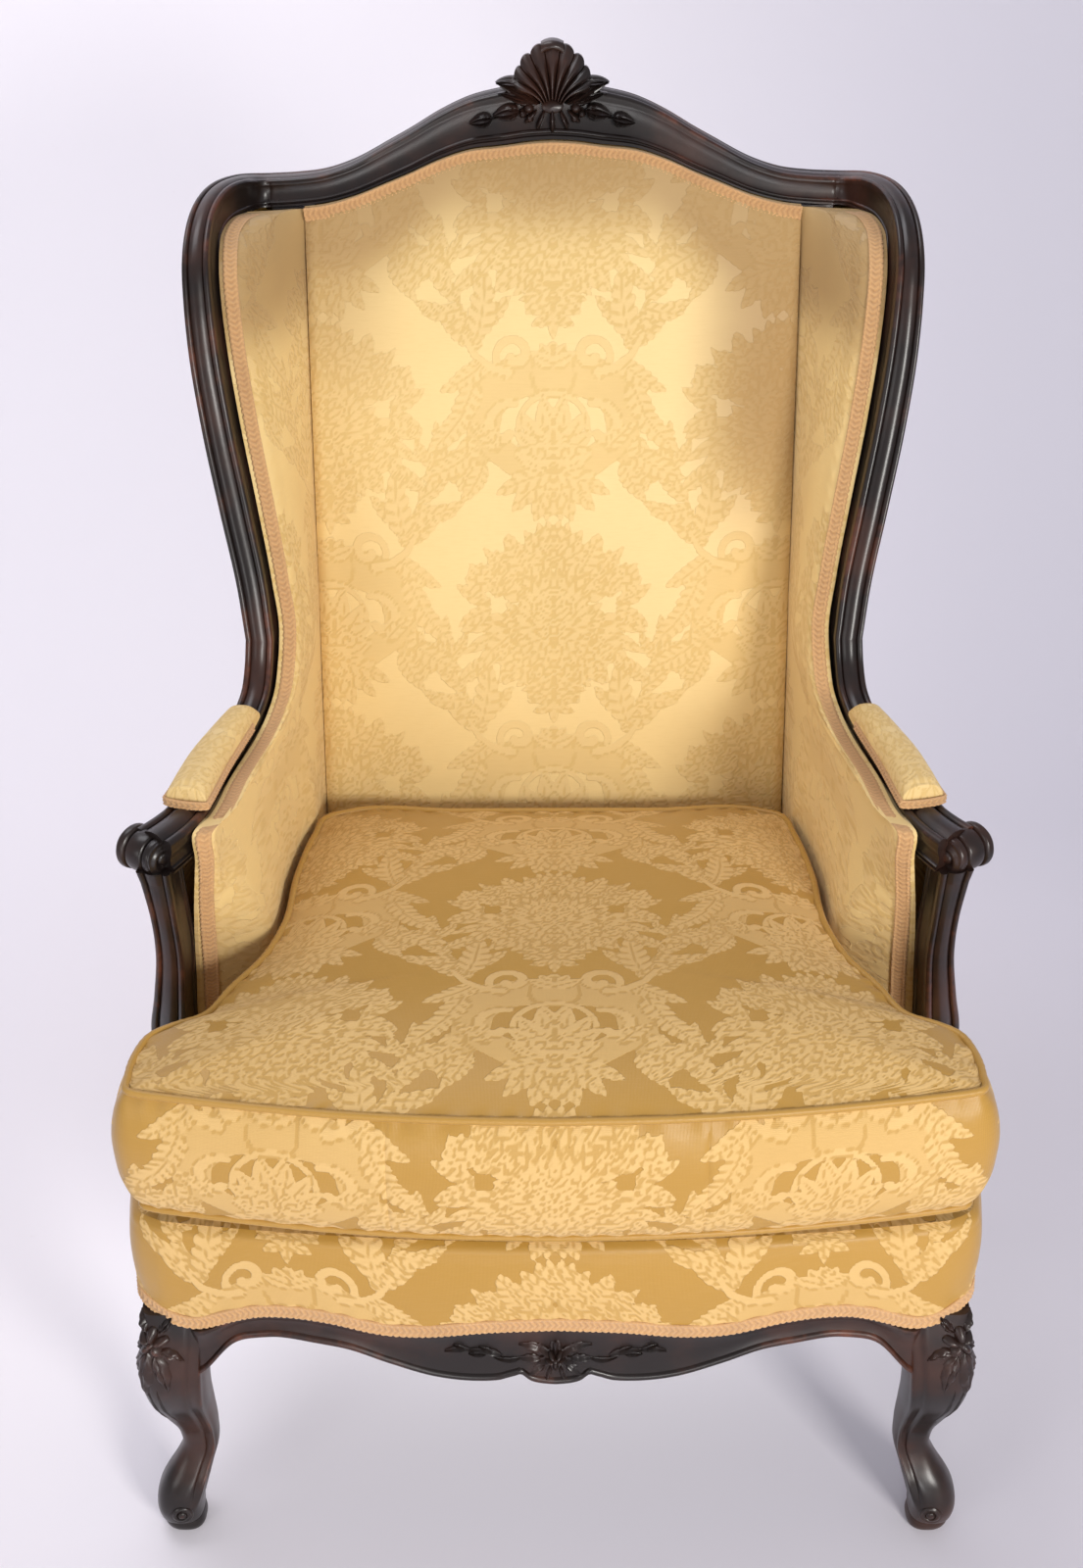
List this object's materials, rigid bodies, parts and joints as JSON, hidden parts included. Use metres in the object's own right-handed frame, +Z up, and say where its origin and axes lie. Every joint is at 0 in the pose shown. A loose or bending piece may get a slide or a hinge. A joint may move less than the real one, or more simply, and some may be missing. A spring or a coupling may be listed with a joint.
{
  "type": "bergere armchair",
  "caption": "Winged bergere armchair with a carved dark show-wood frame, damask upholstery and a loose T-shaped seat cushion.",
  "frame": {"origin": "on the floor, under the middle of the chair's overall width and depth", "axes": "+X to the sitter's left, +Y to the back, +Z up"},
  "size_m": [0.7132, 0.7497, 1.157],
  "materials": {
    "show_wood": "dark satin stain, worn reddish on the edges",
    "beech": "bare sawn",
    "damask": "satin woven damask",
    "faded_damask": "faded satin damask",
    "gimp": "woven braid",
    "jute": "coarse weave",
    "cambric": "thin black cloth",
    "filling": "white cased filling",
    "steel": "plain wire",
    "brass": "plain"
  },
  "bodies": {
    "chair": {"crest_rail": "show_wood", "wing_frame_left": "show_wood", "wing_frame_right": "show_wood", "arm_rail_left": "show_wood", "arm_rail_right": "show_wood", "arm_support_left": "show_wood", "arm_support_right": "show_wood", "back_post_left": "show_wood", "back_post_right": "show_wood", "front_leg_left": "show_wood", "front_leg_right": "show_wood", "front_rail": "show_wood", "side_rail_left": "show_wood", "side_rail_right": "show_wood", "back_seat_rail": "show_wood", "back_tacking_rail": "beech", "arm_stretcher_left": "beech", "arm_stretcher_right": "beech", "side_tacking_rail_left": "beech", "side_tacking_rail_right": "beech", "corner_blocks": "beech", "block_screws": "steel", "seat_webbing": "jute", "seat_springs": "steel", "spring_hessian": "jute", "seat_deck": "damask", "front_border": "damask", "front_gimp": "gimp", "dust_cover": "cambric", "back_webbing": "jute", "back_pad": "faded_damask", "back_gimp": "gimp", "outside_back": "damask", "side_pad_left": "faded_damask", "side_pad_right": "faded_damask", "side_gimp_left": "gimp", "side_gimp_right": "gimp", "outside_side_left": "damask", "outside_side_right": "damask", "arm_pad_left": "faded_damask", "arm_pad_right": "faded_damask", "arm_pad_gimp_left": "gimp", "arm_pad_gimp_right": "gimp"},
    "cushion": {"cushion_core": "filling", "cushion_top_panel": "damask", "cushion_boxing": "damask", "cushion_bottom_panel": "damask", "cushion_welt_top": "damask", "cushion_welt_bottom": "damask", "cushion_zip": "brass"},
    "slider": {"zip_slider": "brass"}
  },
  "joints": [
    {"name": "cushion_lift", "type": "slide", "parent": "chair", "child": "cushion", "axis": [0, 0, 1], "range_m": [0, 0.28]},
    {"name": "zip_run", "type": "slide", "parent": "cushion", "child": "slider", "axis": [-1, 0, 0], "range_m": [0, 0.38]}
  ]
}
